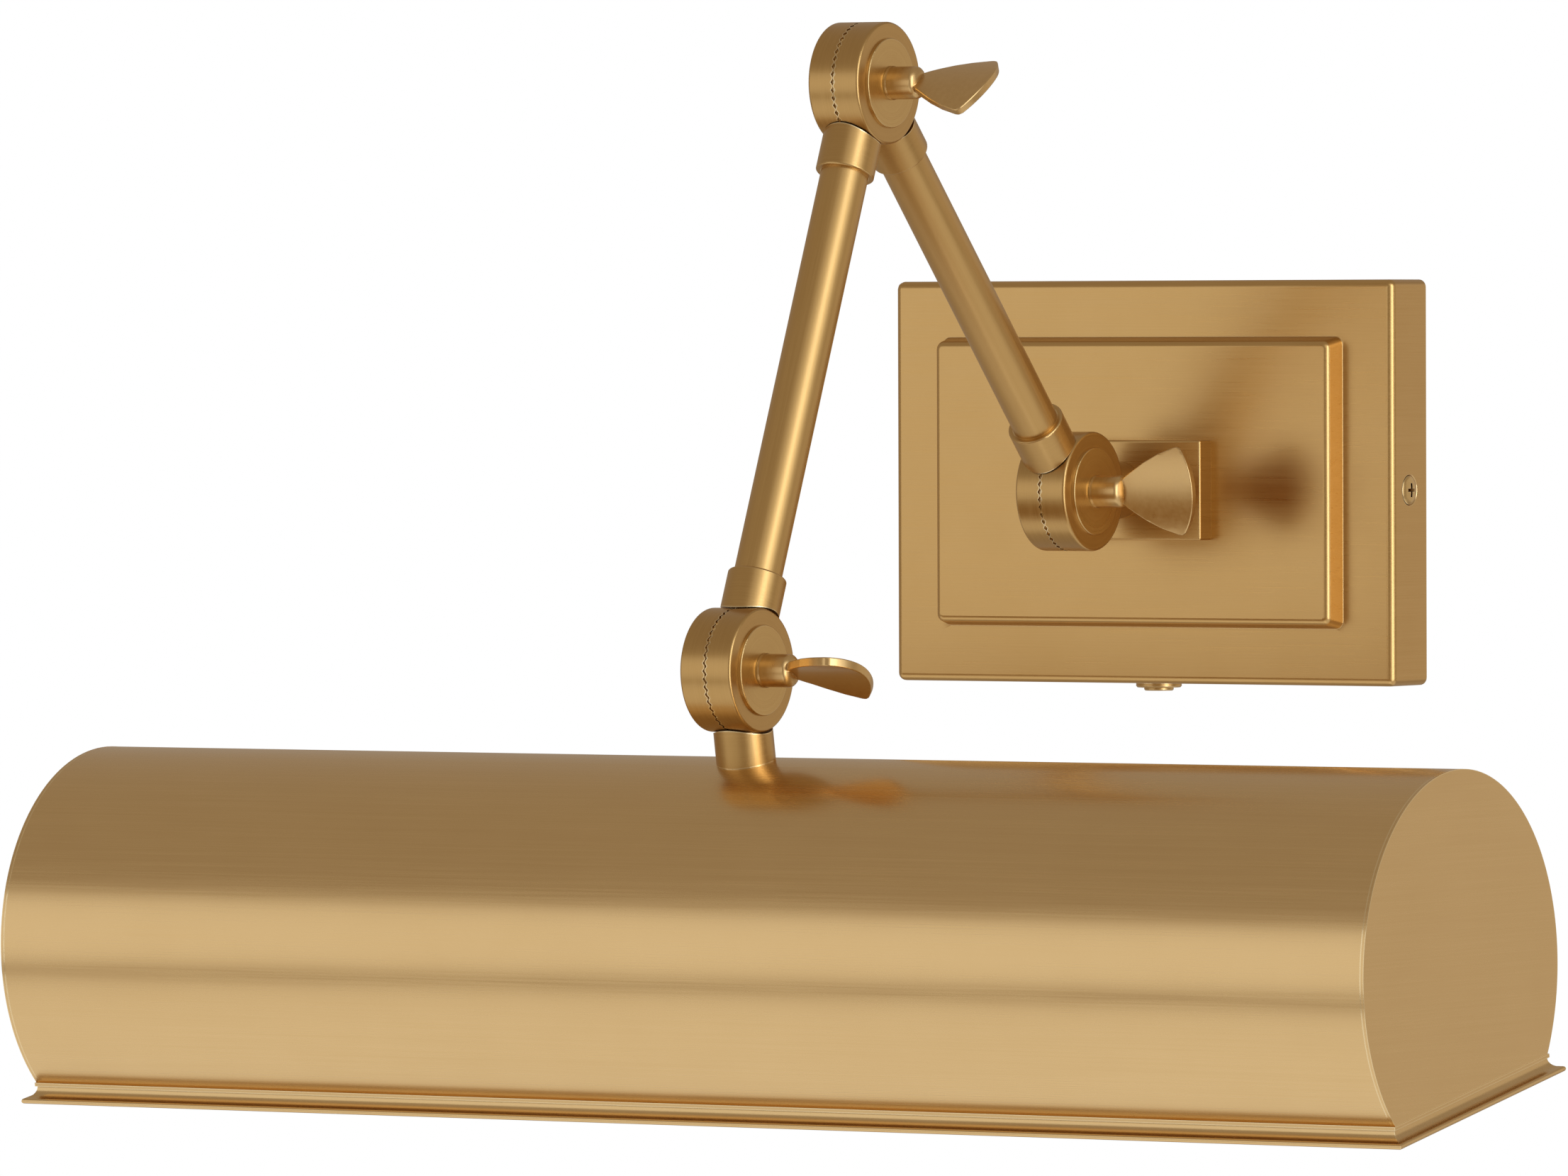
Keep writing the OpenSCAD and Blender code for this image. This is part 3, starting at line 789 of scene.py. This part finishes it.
# ---------- wall cover (mm) ----------

COVER_W, COVER_H, COVER_D, COVER_LIFT, COVER_T = 163, 114.4, 19.4, 2.1, 2
COVER_EDGE_R = 2.2
PANEL_W, PANEL_H, PANEL_D, PANEL_DRAFT = 128.2, 79.4, 6.6, 1.3
PANEL_CORNER_R, PANEL_FACE_R, PANEL_FOOT_R = 2.2, 1.5, 1.6
PANEL_BACK_Y = -24
STEM_HOLE_R, SWITCH_HOLE_R = 5.2, 5
SIDE_Y = 9.8  # distance of the side screws and the switch from the wall
# countersunk hole of a side screw: (distance outwards, radius)
SCREW_HOLE = [(-4, 2.2), (-2, 2.2), (0, 4.4), (2, 4.5)]
TURN_Z_TO = {
    "x": Matrix.Rotation(math.pi / 2, 4, "Y"),
    "y": Matrix.Rotation(-math.pi / 2, 4, "X"),
    "z": Matrix(),
}


def is_panel_corner(edge):
    """One of the edges that run back from the panel's corners."""
    reach = [abs(v.co.x) / MM for v in edge.verts]
    half = PANEL_W / 2
    return runs_back(edge, 5) and max(reach) < half + 3 and min(reach) > half - 0.5


def is_panel_foot(edge):
    """The line where the panel rises from the cover's front."""
    return edge_lies(edge, 1, -COVER_D) and all(
        abs(v.co.x) < (PANEL_W / 2 + 5) * MM for v in edge.verts
    )


def is_outer_edge(edge):
    """The cover's front rim, and the four edges that run back from its corners."""
    if edge_lies(edge, 1, -COVER_D):
        return any(
            edge_lies(edge, axis, place)
            for axis, place in (
                (0, COVER_W / 2),
                (0, -COVER_W / 2),
                (2, COVER_LIFT + COVER_H / 2),
                (2, COVER_LIFT - COVER_H / 2),
            )
        )
    return runs_back(edge, 15) and all(near(abs(v.co.x), COVER_W / 2) for v in edge.verts)


def cut_hole(piece, place_mm, axis, profile):
    """Round hole along X, Y or Z. profile is (distance along the axis from place, radius)."""
    cutter = turn_profile("cutter", profile, 48)
    cutter.data.transform(Matrix.Translation(Vector(place_mm) * MM) @ TURN_Z_TO[axis])
    tidy_surface(cutter)
    apply_modifier(
        piece, "hole", "BOOLEAN", operation="DIFFERENCE", solver="EXACT", object=cutter
    )
    bpy.data.objects.remove(cutter)


def make_cover():
    """Pressed box with a raised panel: a cube opened at the back, inset and drawn out, given its
    wall, its edges rounded and its holes cut."""
    deselect_all()
    bpy.ops.mesh.primitive_cube_add(
        size=1,
        location=(0, -COVER_D / 2 * MM, COVER_LIFT * MM),
        scale=(COVER_W * MM, COVER_D * MM, COVER_H * MM),
    )
    cover = bpy.context.object
    cover.name = "pressed_wall_cover"
    bpy.ops.object.transform_apply()
    bpy.ops.object.mode_set(mode="EDIT")
    pick(cover, "faces", lambda f: f.normal.y > 0.9)
    bpy.ops.mesh.delete(type="FACE")
    pick(cover, "faces", lambda f: f.normal.y < -0.9)
    bpy.ops.mesh.inset(thickness=((COVER_W - PANEL_W) / 2 - PANEL_DRAFT) * MM)
    bpy.ops.mesh.extrude_region_move(TRANSFORM_OT_translate={"value": (0, -PANEL_D * MM, 0)})
    bpy.ops.transform.resize(
        value=(PANEL_W / (PANEL_W + 2 * PANEL_DRAFT), 1, PANEL_H / (PANEL_H + 2 * PANEL_DRAFT)),
        center_override=(0, 0, COVER_LIFT * MM),
    )
    bpy.ops.object.mode_set(mode="OBJECT")
    apply_modifier(
        cover, "wall", "SOLIDIFY", thickness=COVER_T * MM, offset=-1, use_even_offset=True
    )
    bpy.ops.object.mode_set(mode="EDIT")
    pick(cover, "edges", is_panel_corner)
    bevel_picked(PANEL_CORNER_R, 5)
    pick(cover, "edges", lambda e: edge_lies(e, 1, -COVER_D - PANEL_D))
    bevel_picked(PANEL_FACE_R, 5)
    pick(cover, "edges", is_panel_foot)
    bevel_picked(PANEL_FOOT_R, 5)
    pick(cover, "edges", is_outer_edge)
    bevel_picked(COVER_EDGE_R, 6)
    bpy.ops.object.mode_set(mode="OBJECT")
    mirrored_hole = [(-z, radius) for z, radius in reversed(SCREW_HOLE)]
    cut_hole(cover, (-COVER_W / 2, -SIDE_Y, 0), "x", mirrored_hole)
    cut_hole(cover, (COVER_W / 2, -SIDE_Y, 0), "x", SCREW_HOLE)
    foot = COVER_LIFT - COVER_H / 2
    cut_hole(cover, (0, -SIDE_Y, foot), "z", [(-1, SWITCH_HOLE_R), (4, SWITCH_HOLE_R)])
    cut_hole(cover, (0, PANEL_BACK_Y, 0), "y", [(-4, STEM_HOLE_R), (4, STEM_HOLE_R)])
    tidy_surface(cover, 30)
    cover.data.materials.append(plate_brass)
    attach(cover, "wall_base")
    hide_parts("wall_cover")


make_cover()

# ---------- cover screws (mm) ----------

# Brass-plated oval-head screw, tumbled bright: lathe rings on the head, and painted shade darkening
# the recess.
screw_brass = brass(
    "plated_brass_screw",
    ("#E3C48A", "#D2AD70"),
    0.24,
    (turned_grain, (3, 0.25), (6, 0.6)),
    Vector((0, -SIDE_Y, 0)) * MM,
    edge_mm=0.3,
)
SCREW_PROFILE = [
    (-9.5, 1.9),
    (-2.1, 2.0),
    (-0.3, 4.0),
    (-0.05, 4.1),
    (0.25, 3.7),
    (0.5, 2.9),
    (0.65, 2.0),
    (0.72, 1.0),
]
RECESS_W, RECESS_T, RECESS_D, RECESS_CENTRE, RECESS_TAPER = 4.4, 1.0, 2.2, 0.1, 0.6


def make_cover_screws():
    """Oval-head screws with a cross recess, one in each side of the cover."""
    blank = turn_profile("cover_screw_blank", SCREW_PROFILE, 48)
    for turn in (0, math.pi / 2):
        deselect_all()
        bpy.ops.mesh.primitive_cube_add(
            size=1,
            location=(0, 0, RECESS_CENTRE * MM),
            rotation=(0, 0, turn),
            scale=(RECESS_W * MM, RECESS_T * MM, RECESS_D * MM),
        )
        blade = bpy.context.object
        bpy.ops.object.transform_apply()
        bpy.ops.object.mode_set(mode="EDIT")
        pick(blade, "faces", lambda f: f.normal.z < -0.9)
        bpy.ops.transform.resize(
            value=(RECESS_TAPER, RECESS_TAPER, 1),
            center_override=(0, 0, (RECESS_CENTRE - RECESS_D / 2) * MM),
        )
        bpy.ops.object.mode_set(mode="OBJECT")
        apply_modifier(
            blank, "recess", "BOOLEAN", operation="DIFFERENCE", solver="EXACT", object=blade
        )
        bpy.data.objects.remove(blade)
    tidy_surface(blank, 30)
    screws, left = (
        copy_piece(
            blank,
            name,
            Matrix.Translation(Vector((side * COVER_W / 2, -SIDE_Y, 0)) * MM)
            @ Matrix.Rotation(side * math.pi / 2, 4, "Y"),
        )
        for name, side in (("oval_head_cover_screws", 1), ("left_screw", -1))
    )
    bpy.data.objects.remove(blank)
    only(screws)
    left.select_set(True)
    bpy.ops.object.join()
    screws.data.materials.append(screw_brass)
    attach(screws, "wall_base")
    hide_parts("cover_screws")


make_cover_screws()

# ---------- studio (metres) ----------

COOL, WARM = (0.93, 1.0, 1.08), (1.0, 0.93, 0.78)
# name, place, what it faces, (width, height), radiance, tint
SOFTBOXES = (
    ("front_softbox", (-1.15, -2.45, 0.16), (0.0, -0.2, 0.16), (2.6, 1.5), 0.55, COOL),
    ("side_softbox", (2.3, -0.9, 0.3), (0.0, -0.2, 0.1), (2.6, 2.8), 0.8, COOL),
    ("edge_strip", (2.2, -0.85, 0.3), (0.0, -0.2, 0.1), (0.7, 2.6), 2.5, COOL),
    ("rear_softbox", (1.36, 2.0, 0.1), (0.0, -0.1, 0.0), (2.2, 1.8), 0.21, WARM),
    ("high_fill", (1.15, -1.35, 1.3), (0.0, -0.2, 0.0), (1.3, 1.1), 0.42, COOL),
    ("right_bounce", (0.62, 0.0, -0.58), (0.62, 0.0, 1.0), (1.0, 1.3), 0.4, COOL),
    ("low_bounce", (-0.45, -0.78, -0.58), (-0.45, -0.78, 1.0), (1.4, 1.3), 0.5, COOL),
)
FLOOR_Z, FLOOR_SIZE = -0.6, 8


def add_softbox(name, place, target, size, radiance, tint):
    """Square-edged soft light that faces the target and isn't seen itself."""
    data = bpy.data.lights.new(name, "AREA")
    data.color = tint
    data.shape = "RECTANGLE"
    data.size, data.size_y = size
    data.energy = radiance * math.pi * size[0] * size[1]
    lamp = bpy.data.objects.new(name, data)
    bpy.context.scene.collection.objects.link(lamp)
    lamp.location = place
    lamp.rotation_euler = (Vector(target) - Vector(place)).to_track_quat("-Z", "Y").to_euler()
    lamp.visible_camera = False


def add_room():
    """A mid-grey room that lights and reflects, seen by the camera as a white backdrop."""
    scene = bpy.context.scene
    scene.view_settings.view_transform = "Standard"
    scene.view_settings.look = "None"
    world = bpy.data.worlds.new("studio")
    scene.world = world
    world.use_nodes = True
    tree = world.node_tree
    tree.nodes.clear()
    seen = node(tree, "ShaderNodeLightPath")
    room = node(tree, "ShaderNodeBackground", {"Color": colour("#A4988A"), "Strength": 1.0})
    sweep = node(tree, "ShaderNodeBackground", {"Color": colour("#FFFFFF"), "Strength": 1.0})
    both = node(
        tree,
        "ShaderNodeMixShader",
        {0: seen.outputs["Is Camera Ray"], 1: room.outputs[0], 2: sweep.outputs[0]},
    )
    node(tree, "ShaderNodeOutputWorld", {"Surface": both.outputs[0]})


def add_floor():
    """Matt pale paper that glows a little, and is seen from above only."""
    bpy.ops.mesh.primitive_plane_add(size=FLOOR_SIZE, location=(0, 0, FLOOR_Z))
    floor = bpy.context.object
    floor.name = "floor"
    paper, tree, shader = new_material(
        "floor_paper",
        **{
            "Base Color": colour("#F2F1EE"),
            "Roughness": 0.9,
            "Emission Color": colour("#FFFFFF"),
            "Emission Strength": 0.5,
        },
    )
    below = node(tree, "ShaderNodeNewGeometry")
    gone = node(tree, "ShaderNodeBsdfTransparent")
    one_sided = node(
        tree,
        "ShaderNodeMixShader",
        {0: below.outputs["Backfacing"], 1: shader.outputs[0], 2: gone.outputs[0]},
    )
    tree.links.new(one_sided.outputs[0], tree.nodes["Material Output"].inputs["Surface"])
    floor.data.materials.append(paper)
    floor.visible_glossy = False


add_room()
for softbox in SOFTBOXES:
    add_softbox(*softbox)
add_floor()
